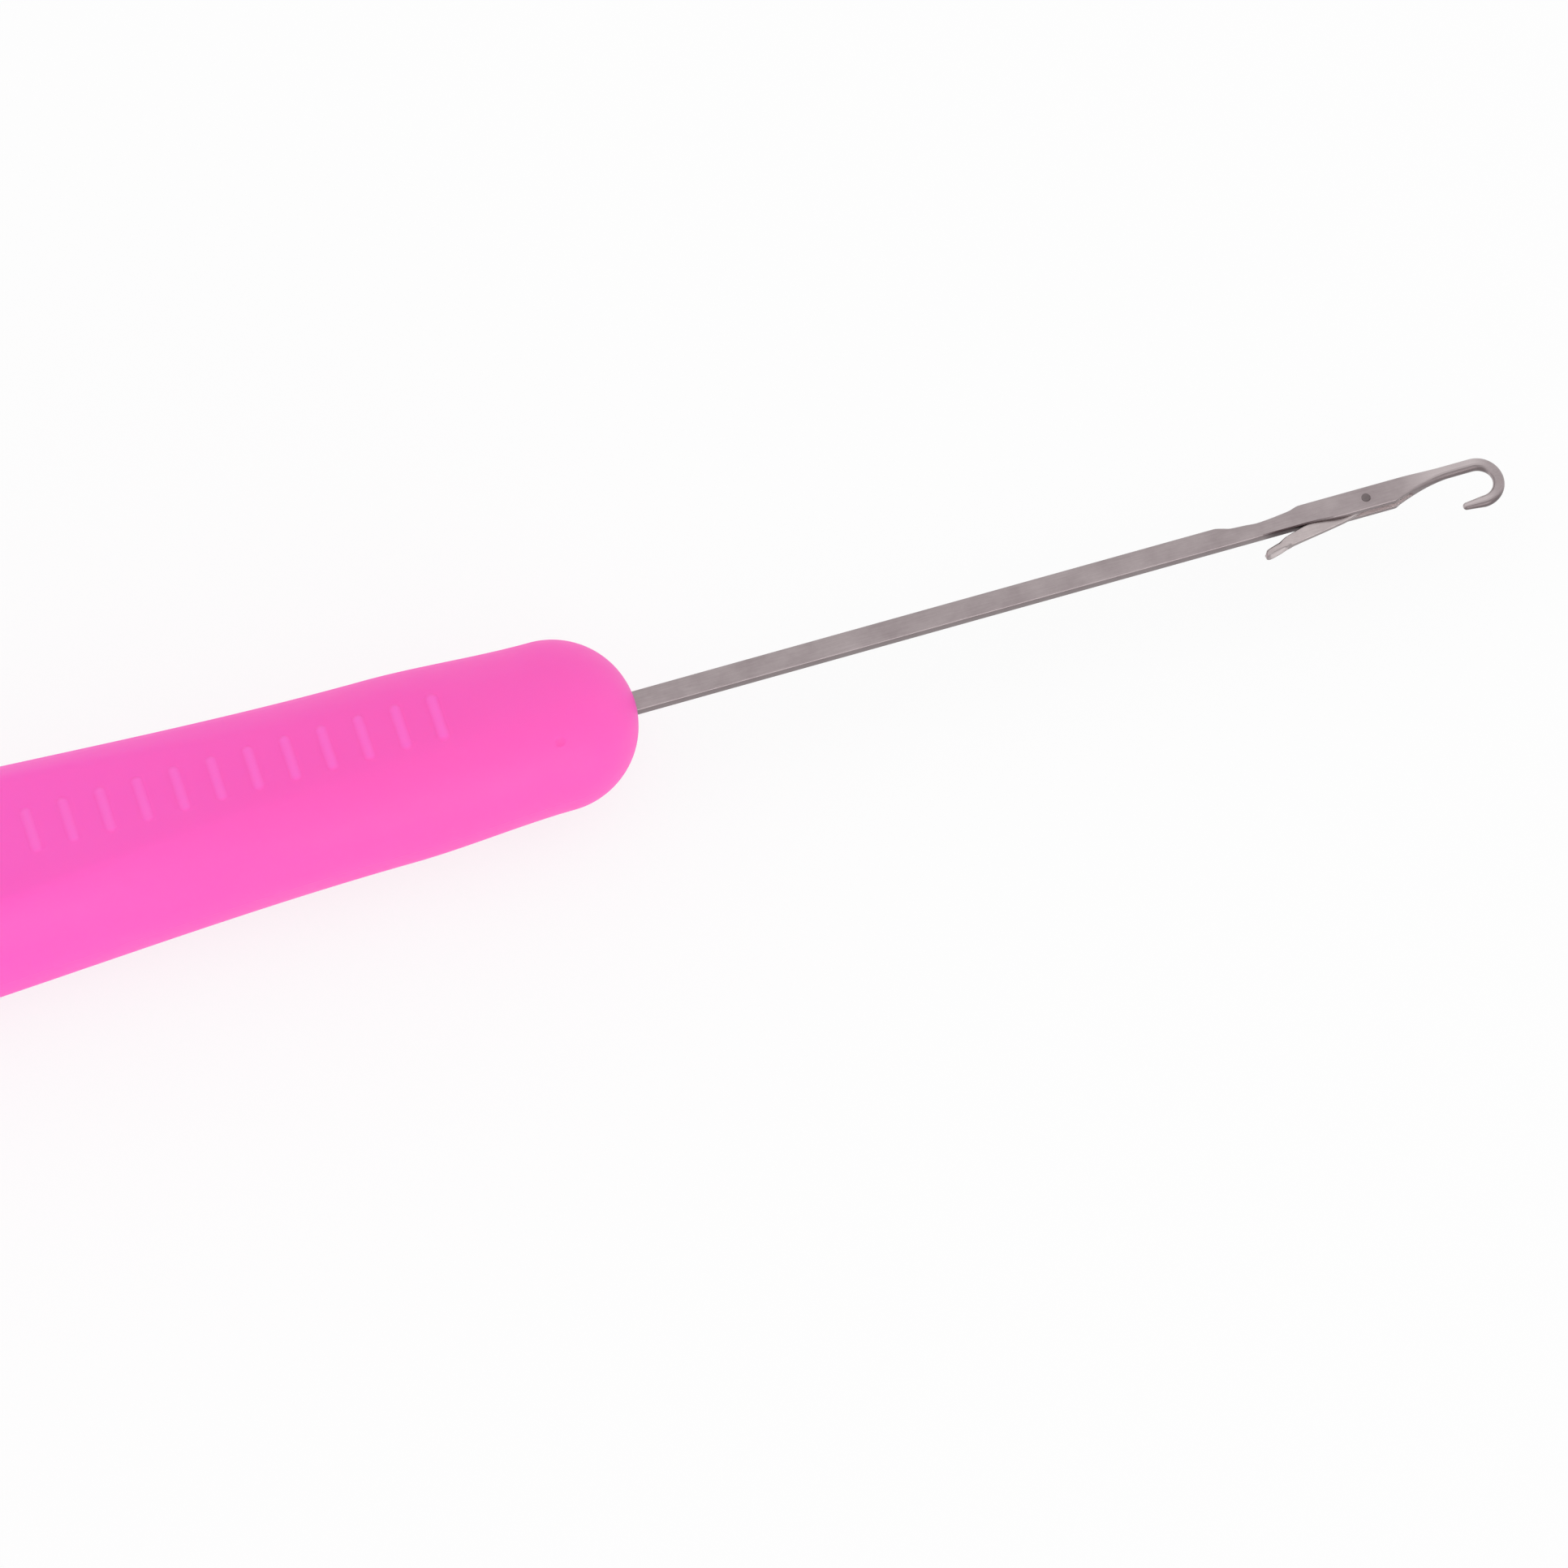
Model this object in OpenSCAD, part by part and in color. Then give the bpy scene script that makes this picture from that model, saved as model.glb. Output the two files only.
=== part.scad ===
// Latch hook tool: a moulded handle, a flat steel needle with a hook, and a latch that swings on a rivet.
// The tool lies on one broad side. +X runs to the hook, the hook opens towards -Y, and +Z is up.
// The origin is on the surface that the handle rests on, under the middle of the tool.

/* [Handle] */
// Length of the handle, from its rear end to its nose
handle_len = 105; // [80:1:140]
// Radius of the round nose
nose_r = 5.7; // [4.6:0.1:6.2]
// Radius of the swell behind the nose
collar_r = 6.2; // [6.2:0.05:7.5]
// Distance from the nose back to the swell
collar_at = 17; // [12:0.5:24]
// Radius of the belly, the widest place of the grip
belly_r = 7.9; // [7.2:0.1:10]
// Distance from the nose back to the belly
belly_at = 62; // [45:1:66]
// Radius of the round rear end
tail_r = 6.7; // [5:0.1:7.5]
// Thickness of the handle between its two flat faces
handle_t = 11.6; // [9:0.1:12]

/* [Thumb ribs] */
// Distance from the nose back to the first rib
rib_start = 13.4; // [12:0.1:20]
// Distance from one rib to the next
rib_pitch = 2.5; // [1.5:0.1:4]
// Number of ribs
rib_count = 12; // [3:1:14]
// Width of a rib along the handle
rib_w = 0.8; // [0.4:0.05:1.2]
// Length of a rib across the handle
rib_len = 3.4; // [2:0.1:4]
// Height of a rib above the flat face
rib_h = 0.12; // [0.08:0.01:0.4]

/* [Needle] */
// Length of the needle in front of the nose
needle_len = 60.2; // [45:0.1:90]
// Height of the flat shank, from its back edge to the edge under the hook's opening
shank_h = 1.5; // [1.4:0.05:2.2]
// Thickness of the flat shank
shank_t = 0.8; // [0.7:0.05:1.2]
// Length of the tang inside the handle
tang_len = 38; // [20:1:60]
// Depth of the notches that hold the tang in the plastic
tang_notch_d = 0.35; // [0.2:0.05:0.45]
// Length of each tang notch
tang_notch_len = 3; // [1:0.5:5]
// Distance from the rivet back to the rear end of the waist in the back edge
waist_back = 10.2; // [9:0.1:12]
// Depth of that waist
waist_d = 0.44; // [0.2:0.02:0.6]
// Length of that waist
waist_len = 5.8; // [3:0.1:7]
// Distance from the rivet back to where the cheeks begin to swell
swell_back = 4.4; // [4:0.1:6]
// Distance from the rivet back to where the cheeks have their full thickness
full_back = 1.6; // [1.6:0.1:3]
// Distance from the rivet forward to the front end of the cheeks' full height
full_front = 1.8; // [1.6:0.1:2.4]
// Thickness of the cheeks where the latch leaves them
cheek_t = 1.3; // [1.2:0.02:1.8]
// How far the cheeks reach below the shank's edge
cheek_drop = 0.25; // [0.05:0.01:0.3]
// Distance from the rivet forward to the stem between the cheeks and the hook
stem_front = 3.7; // [3.4:0.1:4]
// Height of that stem
stem_h = 1.14; // [0.9:0.02:1.3]

/* [Hook] */
// Diameter of the round hook wire
wire_d = 0.86; // [0.6:0.02:1]
// Distance from the rivet forward to where the wire is fully round
wire_front = 5.5; // [5:0.1:5.6]
// Radius of the hook's bend, at the middle of the wire
bend_r = 1.42; // [1.2:0.02:1.8]
// Length of the hook's point, from the bend to the middle of its round end
point_len = 1.25; // [0.8:0.01:1.6]
// Diameter of the point's round end
point_d = 0.5; // [0.3:0.02:0.6]

/* [Latch] */
// Distance from the hook's outer end back to the rivet
rivet_back = 9.4; // [8.6:0.1:11]
// How far the rivet lies below the middle of the shank
rivet_drop = 0.12; // [0.05:0.01:0.2]
// Diameter of the rivet
rivet_d = 0.46; // [0.4:0.02:0.6]
// Depth of the countersink under each rivet head
sink_d = 0.08; // [0.05:0.01:0.14]
// Radius of the latch round the rivet
hub_r = 0.58; // [0.5:0.01:0.62]
// Thickness of the latch blade
latch_t = 0.42; // [0.3:0.02:0.5]
// How far the blade's closing edge stands above its middle line at its highest place
closing_h = 0.68; // [0.6:0.01:0.8]
// Height of the blade where it meets the spoon
neck_h = 0.7; // [0.4:0.02:0.8]
// Width of the spoon's round end
spoon_w = 0.96; // [0.8:0.02:1.2]
// Width of the spoon where it leaves the blade
spoon_rear_w = 0.62; // [0.56:0.02:0.8]
// Length of the spoon
spoon_len = 1.9; // [1.7:0.05:2.2]
// Height of the spoon's rim above its underside
spoon_h = 0.54; // [0.44:0.02:0.6]
// Depth of the cup in the spoon
cup_d = 0.22; // [0.1:0.01:0.28]
// Length of spoon that reaches past the hook's point when the latch is closed
spoon_lap = 1.2; // [0.8:0.05:1.4]
// Angle between the open latch and the shank
open_angle = 13.3; // [10:0.1:20]
// Distance from the rivet forward to the front end of the slot, at the shank's lower edge
slot_front = 3.6; // [3.4:0.1:4]
// Gap between the latch and each wall of its slot
side_gap = 0.04; // [0.03:0.01:0.1]
// Gap between the rivet and the hole in the latch
run_gap = 0.02; // [0.01:0.01:0.05]
// Gap between the latch and what it stops against
stop_gap = 0.04; // [0.02:0.01:0.1]

/* [Hidden] */

$fn = 96;
eps = 0.01;
over = 1;           // how far a cut runs past the surface that it leaves
slice_t = 0.01;     // thickness of the sections that the needle's hulls join
rib_root = 1;       // how far the ribs reach down into the plastic

// Places along the needle, counted from the nose
back_y = shank_h / 2;
low_y = -shank_h / 2;
rivet = [needle_len - rivet_back, -rivet_drop];
waist_x = rivet.x - waist_back;
swell_x = rivet.x - swell_back;
full_start_x = rivet.x - full_back;
full_end_x = rivet.x + full_front;
stem_x = rivet.x + stem_front;
cheek_low_y = low_y - cheek_drop;

// Hook: the wire leaves the stem, runs into a half-round bend and ends in the point
wire_r = wire_d / 2;
point_r = point_d / 2;
bend = [needle_len - wire_r - bend_r, back_y - wire_r - bend_r];
wire_start = [rivet.x + wire_front, back_y - wire_r];
bend_start = [bend.x, bend.y + bend_r];
point = [bend.x - point_len, bend.y - bend_r];

// Latch, drawn with its rivet at the origin, its blade along +X and its closing edge towards +Y
to_point = point - rivet;
point_dist = norm(to_point);
latch_len = point_dist + spoon_lap;
spoon_ends = [
    [latch_len - spoon_w / 2, spoon_w / 2],
    [latch_len - spoon_len + spoon_rear_w / 2, spoon_rear_w / 2]
];
blade_lap = 0.35;       // how far the blade reaches into the spoon
blade_len = latch_len - spoon_len + blade_lap;
blade_full_len = 0.3 * blade_len;
spoon_sag = 0.17;       // how far the spoon's underside lies below the latch's middle line
spoon_rim = spoon_h - spoon_sag;
cup_floor = spoon_rim - cup_d;
open_dir = 180 + open_angle;
closed_dir = 360 + atan2(to_point.y, to_point.x) - asin((point_r + cup_floor + stop_gap) / point_dist);
latch_swing = closed_dir - open_dir;

// Slot: one pass of a round cutter, deep enough for the hub and long enough for the open blade
slot_w = latch_t + 2 * side_gap;
slot_top = rivet.y + hub_r + stop_gap;
blade_taper = (hub_r - neck_h / 2) / blade_len;
exit_u = (rivet.y + hub_r * cos(open_angle) - low_y) / (sin(open_angle) + blade_taper * cos(open_angle));
slot_rear = exit_u * cos(open_angle) + (hub_r - blade_taper * exit_u) * sin(open_angle) + 2 * stop_gap;
slot_half = (slot_rear + slot_front) / 2;
slot_depth = slot_top - low_y;
cutter_r = (slot_half * slot_half + slot_depth * slot_depth) / (2 * slot_depth);

// Half the thickness of the cheeks at the rivet, where its heads are filed flush
cheek_slope = (cheek_t - shank_t) / 2 / (back_y - cheek_low_y);
cheek_half = shank_t / 2 + cheek_slope * (back_y - rivet.y);

function mix(a, b, t) = a + (b - a) * t;
function ease(t) = t * t * (3 - 2 * t);

// Radius of the grip at a distance behind the nose
tail_at = handle_len - tail_r;
function grip_r(u) =
    u < collar_at ? mix(nose_r, collar_r, ease((u - nose_r) / (collar_at - nose_r)))
    : u < belly_at ? mix(collar_r, belly_r, ease((u - collar_at) / (belly_at - collar_at)))
    : mix(belly_r, tail_r, ease((u - belly_at) / (tail_at - belly_at)));

// Stations of the grip's curve, closer together where it turns faster
nose_steps = 10;
grip_steps = 18;
grip_stations = concat(
    [for (i = [0 : nose_steps - 1]) mix(nose_r, collar_at, i / nose_steps)],
    [for (i = [0 : grip_steps - 1]) mix(collar_at, belly_at, i / grip_steps)],
    [for (i = [0 : grip_steps]) mix(belly_at, tail_at, i / grip_steps)]
);

// Puts a piece drawn from the nose, along +X and round the needle's middle, in its place
module in_place() {
    translate([(handle_len - needle_len) / 2, 0, handle_t / 2])
        children();
}

// Half of a round end: the quarter disc that turns into a dome
module dome_quarter(r, at, side) {
    translate([0, at])
        intersection() {
            circle(r);
            translate([0, side < 0 ? -r : 0])
                square(r);
        }
}

module grip_profile() {
    dome_quarter(nose_r, nose_r, -1);
    dome_quarter(tail_r, tail_at, 1);
    polygon(concat(
        [[0, nose_r]],
        [for (u = grip_stations) [grip_r(u), u]],
        [[0, tail_at]]
    ));
}

// Low bar with round ends, rooted in the plastic under the flat face
module rib() {
    reach = rib_len / 2 - rib_w / 2;
    height = rib_root + rib_h;
    translate([0, 0, handle_t / 2 - rib_root]) {
        translate([-rib_w / 2, -reach, 0])
            cube([rib_w, 2 * reach, height]);
        for (side = [-1, 1])
            translate([0, side * reach, 0])
                cylinder(d = rib_w, h = height);
    }
}

module handle() {
    color("#FE62BE")
        in_place() {
            difference() {
                intersection() {
                    rotate([0, -90, 0])
                        rotate_extrude()
                            grip_profile();
                    translate([-handle_len - over, -2 * belly_r, -handle_t / 2])
                        cube([handle_len + 2 * over, 4 * belly_r, handle_t]);
                }
                blank(over);
            }
            for (i = [0 : rib_count - 1])
                translate([-rib_start - i * rib_pitch, 0, 0])
                    rib();
        }
}

// Waist in the back edge: a steep step down, a shallow run to its lowest place and a rise
module waist_outline() {
    step = [0.15 * waist_len, 0.65 * waist_d];
    lowest = [0.48 * waist_len, waist_d];
    polygon([
        [waist_x, back_y + over],
        [waist_x, back_y],
        [waist_x + step.x, back_y - step.y],
        [waist_x + lowest.x, back_y - lowest.y],
        [waist_x + waist_len, back_y],
        [waist_x + waist_len, back_y + over]
    ]);
}

module tang_notches() {
    for (side = [-1, 1])
        translate([-tang_len + 2 * tang_notch_len, side * back_y])
            square([tang_notch_len, 2 * tang_notch_d], center = true);
}

// Flat strip of the tang and shank, up to a given place in front of the nose
module blank(to_x) {
    linear_extrude(shank_t, center = true)
        difference() {
            translate([-tang_len, low_y])
                square([tang_len + to_x, shank_h]);
            tang_notches();
            waist_outline();
        }
}

// Cross-section with its own thickness at the back edge and at the lower edge
module section(back, low, back_t, low_t) {
    polygon([[back, -back_t / 2], [back, back_t / 2], [low, low_t / 2], [low, -low_t / 2]]);
}

// Stands a cross-section up at a place along the needle
module at_x(x, thick = slice_t) {
    translate([x, 0, 0])
        rotate([90, 0, 90])
            linear_extrude(thick)
                children();
}

module cheek_section() {
    section(back_y, cheek_low_y, shank_t, cheek_t);
}

module stem_section() {
    section(back_y, back_y - stem_h, shank_t, shank_t);
}

module cheeks() {
    hull() {
        at_x(swell_x - eps)
            section(back_y, low_y, shank_t, shank_t);
        at_x(full_start_x)
            cheek_section();
    }
    at_x(full_start_x, full_end_x - full_start_x)
        cheek_section();
    hull() {
        at_x(full_end_x - slice_t)
            cheek_section();
        at_x(stem_x)
            stem_section();
    }
}

// Thin disc across the wire, whose front face is at a point of the wire's middle line
module wire_disc(at) {
    translate([at.x - slice_t, at.y, 0])
        rotate([0, 90, 0])
            cylinder(d = wire_d, h = slice_t, $fn = 32);
}

// Stem that turns from the flat section into the round wire, and runs on to the bend
module stem() {
    hull() {
        at_x(stem_x)
            stem_section();
        wire_disc(wire_start);
    }
    hull() {
        wire_disc(wire_start);
        wire_disc(bend_start);
    }
}

module hook() {
    translate([bend.x, bend.y, 0])
        rotate([0, 0, -90])
            rotate_extrude(angle = 180)
                translate([bend_r, 0])
                    circle(d = wire_d);
    translate([point.x, point.y, 0]) {
        rotate([0, 90, 0])
            cylinder(r1 = point_r, r2 = wire_r, h = point_len);
        sphere(point_r);
    }
}

module latch_slot() {
    translate([rivet.x + (slot_front - slot_rear) / 2, slot_top - cutter_r, 0])
        cylinder(r = cutter_r, h = slot_w, center = true);
}

// Hole for the rivet through both cheeks, countersunk at each end
module rivet_hole() {
    reach = sink_d + slot_w;
    translate([rivet.x, rivet.y, 0]) {
        cylinder(d = rivet_d, h = 2 * cheek_half, center = true);
        for (side = [0, 1])
            mirror([0, 0, side])
                translate([0, 0, cheek_half - sink_d])
                    cylinder(r1 = rivet_d / 2, r2 = rivet_d / 2 + reach, h = reach);
    }
}

module needle() {
    color("#9C9496")
        in_place()
            difference() {
                union() {
                    blank(swell_x);
                    cheeks();
                    stem();
                    hook();
                }
                latch_slot();
                rivet_hole();
            }
}

// Rivet that fills its hole and is filed flush with the cheeks
module rivet() {
    color("#8A8486")
        in_place()
            intersection() {
                rivet_hole();
                at_x(full_start_x, full_end_x - full_start_x)
                    cheek_section();
            }
}

module blade_outline() {
    circle(hub_r);
    polygon([
        [0, hub_r],
        [blade_full_len, closing_h],
        [blade_len, neck_h / 2],
        [blade_len, -neck_h / 2],
        [0, -hub_r]
    ]);
}

// Tapering oval bowl that hangs from the spoon's rim. Its rim and its floor have a share of the
// spoon's width, and it starts some way below the rim.
module bowl(rim_share, floor_share, start, depth) {
    translate([0, spoon_rim - start, 0])
        rotate([90, 0, 0])
            hull()
                for (end = spoon_ends)
                    translate([end.x, 0, 0])
                        cylinder(
                            r1 = rim_share * end.y,
                            r2 = floor_share * end.y,
                            h = depth - start,
                            $fn = 32
                        );
}

// Blade with a spoon at its end, and in the spoon a cup that takes the hook's point
module latch() {
    color("#A8A2A2")
        in_place()
            translate([rivet.x, rivet.y, 0])
                rotate([0, 0, open_dir])
                    difference() {
                        union() {
                            linear_extrude(latch_t, center = true)
                                blade_outline();
                            bowl(1, 0.6, 0, spoon_h);
                        }
                        bowl(0.78, 0.4, -eps, cup_d);
                        cylinder(d = rivet_d + 2 * run_gap, h = latch_t + over, center = true);
                    }
}

handle();
needle();
rivet();
latch();
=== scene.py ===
# Latch hook tool: the looks of its moulded handle, its plated steel needle and its swinging latch.
# Sizes are in millimetres, counted from the handle's nose on the needle's middle line, as a maker
# would draw them. +X runs to the hook, the hook opens towards -Y and +Z is the upper broad side.
import math

import bmesh
import bpy
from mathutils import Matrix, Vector


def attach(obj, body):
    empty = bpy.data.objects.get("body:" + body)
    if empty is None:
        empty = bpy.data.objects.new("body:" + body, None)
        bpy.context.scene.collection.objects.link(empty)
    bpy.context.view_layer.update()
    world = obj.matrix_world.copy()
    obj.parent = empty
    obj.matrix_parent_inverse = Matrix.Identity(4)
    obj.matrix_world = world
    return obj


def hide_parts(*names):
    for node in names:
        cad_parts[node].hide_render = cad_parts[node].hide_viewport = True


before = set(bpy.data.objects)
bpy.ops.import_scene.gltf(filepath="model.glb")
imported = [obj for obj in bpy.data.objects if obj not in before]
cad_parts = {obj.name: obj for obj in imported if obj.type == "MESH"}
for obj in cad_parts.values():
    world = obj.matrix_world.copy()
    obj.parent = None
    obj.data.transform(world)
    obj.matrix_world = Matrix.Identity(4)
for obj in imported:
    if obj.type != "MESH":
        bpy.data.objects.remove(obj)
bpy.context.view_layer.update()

MM = 0.001
NOSE = Vector((22.4, 0, 5.8))       # where the nose lies in the frame
HAIR = 0.01                         # a length too small to see
CUT_REACH = 1                       # how far a cutter reaches, well past what it cuts
ROUND = 0.999                       # edge radius of a round section, as a share of its half width

# Handle
HANDLE_LENGTH = 105
NOSE_R = 5.7
COLLAR_R = 6.2
COLLAR_BACK = 17
BELLY_R = 7.9
BELLY_BACK = 62
TAIL_R = 6.7
HANDLE_T = 11.6
FLAT_EDGE = 0.5                     # width of the soft edge between a flat face and the round sides
GATE_BACK = 6.1                     # the mould's gate mark, behind the nose
GATE_TURN = math.radians(38)        # and turned from the upper face towards the hook's open side
GATE_R = 0.36
GATE_DEPTH = 0.12
BALL_ROWS = 40                      # rows and sides of the ball that presses the mark
BALL_SIDES = 64

# Thumb ribs on the upper flat face
RIB_FIRST = 13.4
RIB_PITCH = 2.5
RIB_COUNT = 12
RIB_W = 0.8
RIB_LENGTH = 3.4
RIB_H = 0.1
RIB_SPREAD = 1.5                    # how much wider each rib is where it is sunk in the plastic

# Needle
TANG_LENGTH = 38
TANG_NOTCH = 0.35
TANG_NOTCH_LENGTH = 3
SHANK_H = 1.5
SHANK_T = 0.8
CHEEK_T = 1.3
CHEEK_LOW = -1.0                    # height of the cheeks' lower edge
ARRIS = 0.17                        # radius of the strip's tumbled edges
WIRE_R = 0.43
BEND = Vector((58.35, -1.1))
BEND_R = 1.42
BEND_END_R = 0.39                   # radius of the wire from the middle of the bend
POINT_LENGTH = 1.25
POINT_R = 0.25

# Rivet and latch
RIVET = Vector((50.8, -0.12))
RIVET_R = 0.23
SINK = 0.08                         # depth of the countersink under each head
SINK_OUT = 0.4                      # how far the countersink's cutter reaches past the cheek
HEAD_GAP = 0.015                    # the head stops this far short of the countersink's rim
HEAD_BEVEL = 0.03                   # width of the bevel round the head
HEAD_DROP = 0.02                    # how far that bevel falls
PEENED = [(0.19, 0.005), (0.11, 0.055), (0.02, 0.07)]   # radii and depths of the head's hollow
RUN_GAP = 0.02
HUB_R = 0.58
LATCH_T = 0.42
LATCH_LENGTH = 7.942
CLOSING_H = 0.68
NECK_H = 0.7
SPOON_W = 0.96
SPOON_LENGTH = 1.9
SPOON_RIM = 0.37
SPOON_SAG = 0.17
CUP_DEPTH = 0.22
CUP_SHARE = 0.8                     # width of the cup as a share of the spoon's
RIM_DEPTH = 0.12                    # from the spoon's rim down to its widest line
RIM_FALL = 2                        # how steeply that line falls towards the blade's middle
OPEN_TURN = math.radians(193.3)

# Slot between the cheeks, one pass of a round cutter
SLOT_W = 0.5
SLOT_TOP = 0.5
SLOT_REAR = 4.56
SLOT_FRONT = 3.6
SLOT_R = 7.286


def place(x, y, z):
    """A point of the tool, in metres in the frame."""
    return (Vector((x, y, z)) + NOSE) * MM


def ease(t):
    """A smooth rise from 0 to 1."""
    return t * t * (3 - 2 * t)


def through(points, x):
    """Height at x of the smooth line through some points, with no wave between them."""
    if x <= points[0][0]:
        return points[0][1]
    if x >= points[-1][0]:
        return points[-1][1]
    slopes = [(b[1] - a[1]) / (b[0] - a[0]) for a, b in zip(points, points[1:])]
    tangents = [0.0]
    for before, after in zip(slopes, slopes[1:]):
        same_way = before * after > 0
        tangents.append(2 * before * after / (before + after) if same_way else 0.0)
    tangents.append(0.0)
    i = max(k for k in range(len(slopes)) if points[k][0] <= x)
    width = points[i + 1][0] - points[i][0]
    t = (x - points[i][0]) / width
    rise = points[i + 1][1] - points[i][1]
    ends = tangents[i] * (t - 2 * t * t + t**3) + tangents[i + 1] * (t**3 - t * t)
    return points[i][1] + rise * ease(t) + width * ends


def stations(start, end, count):
    """Evenly spaced places from a start up to just before an end."""
    return [start + (end - start) * k / count for k in range(count)]


def circle_turns(count):
    """Evenly spaced turns round a circle."""
    return stations(0, 2 * math.pi, count)


def share_of(value, start, end):
    """0 up to a start, 1 from an end, and a smooth rise between them."""
    return ease(min(max((value - start) / (end - start), 0), 1))


# Meshes

def mesh_object(name, mesh):
    piece = bpy.data.objects.new(name, mesh)
    bpy.context.scene.collection.objects.link(piece)
    return piece


def loft(name, rings):
    """A closed solid through rings of points, each ring with the same number of them."""
    shape = bmesh.new()
    rows = [[shape.verts.new(point) for point in ring] for ring in rings]
    count = len(rings[0])
    for row, following in zip(rows, rows[1:]):
        for k in range(count):
            n = (k + 1) % count
            shape.faces.new((row[k], row[n], following[n], following[k]))
    shape.faces.new(rows[0])
    shape.faces.new(rows[-1])
    bmesh.ops.remove_doubles(shape, verts=shape.verts, dist=1e-8)
    bmesh.ops.recalc_face_normals(shape, faces=shape.faces)
    mesh = bpy.data.meshes.new(name)
    shape.to_mesh(mesh)
    shape.free()
    return mesh_object(name, mesh)


def turned(name, outline, sides=96, at=RIVET):
    """A solid turned about an axis across the tool, from its outline of radius and height."""
    return loft(name, [
        [place(at.x + radius * math.cos(a), at.y + radius * math.sin(a), z)
         for a in circle_turns(sides)]
        for radius, z in outline
    ])


def bar(name, low, high):
    """A straight block between two corners, for cutting."""
    corners = [(low[1], low[2]), (high[1], low[2]), (high[1], high[2]), (low[1], high[2])]
    return loft(name, [[place(x, y, z) for y, z in corners] for x in (low[0], high[0])])


def baked(piece):
    """The piece with its modifiers made part of its mesh."""
    bpy.context.view_layer.update()
    graph = bpy.context.evaluated_depsgraph_get()
    mesh = bpy.data.meshes.new_from_object(piece.evaluated_get(graph))
    piece.modifiers.clear()
    piece.data = mesh
    return piece


def combine(piece, operation, tools):
    """Cuts tools out of the piece, or joins them to it."""
    for tool in tools:
        step = piece.modifiers.new(tool.name, "BOOLEAN")
        step.object = tool
        step.operation = operation
        step.solver = "EXACT"
    baked(piece)
    for tool in tools:
        bpy.data.objects.remove(tool)


def finish(piece, material, body, slot, replaced, sharp=32):
    """Shades the piece smooth up to its crisp edges, gives it its material, hangs it on its body's
    empty and hides the CAD part it replaces.
    """
    mesh = piece.data
    mesh.materials.clear()
    mesh.materials.append(material)
    mesh.polygons.foreach_set("material_index", [0] * len(mesh.polygons))
    mesh.shade_smooth()
    mesh.set_sharp_from_angle(angle=math.radians(sharp))
    mesh.name = piece.name
    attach(piece, body)
    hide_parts(replaced)


# Node trees

def add(tree, kind, inputs=None, **settings):
    """Adds a node with its settings, and fills its inputs with values, sockets or whole nodes."""
    node = tree.nodes.new(kind)
    for key, value in settings.items():
        setattr(node, key, value)
    for key, value in (inputs or {}).items():
        if isinstance(value, bpy.types.Node):
            value = value.outputs[0]
        if isinstance(value, bpy.types.NodeSocket):
            tree.links.new(value, node.inputs[key])
        else:
            node.inputs[key].default_value = value
    return node


def geometry_tree(name, sizes):
    """An empty tree with named inputs, and the socket of each by its name."""
    tree = bpy.data.node_groups.new(name, "GeometryNodeTree")
    kinds = {int: "NodeSocketInt", float: "NodeSocketFloat", Vector: "NodeSocketVector"}
    for label, value in sizes.items():
        item = tree.interface.new_socket(label, in_out="INPUT", socket_type=kinds[type(value)])
        item.default_value = value
    tree.interface.new_socket("Material", in_out="INPUT", socket_type="NodeSocketMaterial")
    tree.interface.new_socket("Geometry", in_out="OUTPUT", socket_type="NodeSocketGeometry")
    sockets = add(tree, "NodeGroupInput").outputs
    return tree, {label: sockets[label] for label in [*sizes, "Material"]}


def close_tree(tree, geometry, material):
    """Ends a tree in real, smooth, finished geometry."""
    real = add(tree, "GeometryNodeRealizeInstances", {0: geometry})
    smooth = add(tree, "GeometryNodeSetShadeSmooth", {0: real})
    coated = add(tree, "GeometryNodeSetMaterial", {0: smooth, "Material": material})
    add(tree, "NodeGroupOutput", {0: coated})


def grown(name, tree, sizes, material):
    """The plain mesh that a geometry tree makes with these sizes."""
    piece = mesh_object(name, bpy.data.meshes.new(name))
    step = piece.modifiers.new(tree.name, "NODES")
    step.node_group = tree
    values = dict(sizes, Material=material)
    for item in tree.interface.items_tree:
        if item.name in values:
            step[item.identifier] = values[item.name]
    return baked(piece)


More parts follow.
